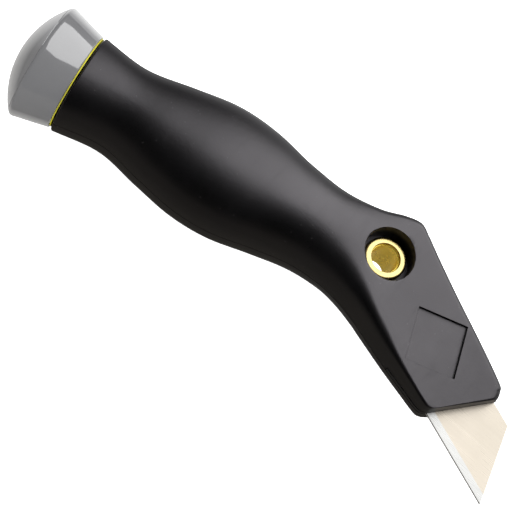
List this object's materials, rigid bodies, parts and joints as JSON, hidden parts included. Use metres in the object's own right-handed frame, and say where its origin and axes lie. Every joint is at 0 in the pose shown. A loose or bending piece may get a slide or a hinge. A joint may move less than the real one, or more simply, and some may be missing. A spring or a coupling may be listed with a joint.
{
  "type": "utility knife",
  "caption": "Utility knife with a curved two-shell handle that swings open on a hollow pivot, a trapezoid blade, spare blades inside and a screw-on pommel",
  "frame": {"origin": "Centre of the bounding box in X and Y, at its lowest point in Z, with the knife lying on its rear side and the parting plane of the shells level.", "axes": "+X from the pommel to the blade tip, +Y from the cutting edge side to the spine side, +Z from the rear shell to the front shell."},
  "size_m": [0.1676, 0.0494, 0.0328],
  "materials": {
    "black_shell": "satin black paint on a die casting",
    "brass": "turned and polished",
    "blade_steel": "ground and lightly oiled",
    "clamp_steel": "blackened steel strip",
    "spring_steel": "blued spring strip",
    "zinc_steel": "bright zinc plate",
    "grey_plastic": "gloss moulded",
    "yellow_gasket": "matte moulded"
  },
  "bodies": {
    "handle": {"rear_shell": "black_shell", "pivot_sleeve": "brass", "pivot_collar": "brass", "wave_washer": "spring_steel", "blade": "blade_steel", "blade_lug_pin_1": "zinc_steel", "blade_lug_pin_2": "zinc_steel", "spare_blade_1": "blade_steel", "spare_blade_2": "blade_steel", "spare_blade_3": "blade_steel", "spare_blade_4": "blade_steel", "spare_blade_5": "blade_steel", "spare_blade_spring": "spring_steel", "tail_spigot": "zinc_steel", "spigot_pin_1": "zinc_steel", "spigot_pin_2": "zinc_steel"},
    "front_cover": {"front_shell": "black_shell", "blade_clamp_plate": "clamp_steel", "clamp_rivet_1": "zinc_steel", "clamp_rivet_2": "zinc_steel"},
    "gasket": {"cap_gasket": "yellow_gasket"},
    "cap": {"pommel_cap": "grey_plastic", "cap_insert": "zinc_steel"}
  },
  "joints": [
    {"name": "cover_swing", "type": "hinge", "parent": "handle", "child": "front_cover", "pos_m": [0.02439, 0.00981, 0.0164], "axis": [0, 0, 1], "range_deg": [0, 150]},
    {"name": "cap_slide", "type": "slide", "parent": "handle", "child": "gasket", "axis": [-0.9848, -0.1736, 0], "range_m": [0, 0.005]},
    {"name": "cap_turn", "type": "hinge", "parent": "gasket", "child": "cap", "pos_m": [-0.06631, -0.00669, 0.0164], "axis": [-0.9848, -0.1736, 0], "range_deg": [0, 720.5]}
  ],
  "couplings": [
    {"joint": "cap_turn", "follows": "cap_slide", "rad_per_m": 2513.3}
  ]
}
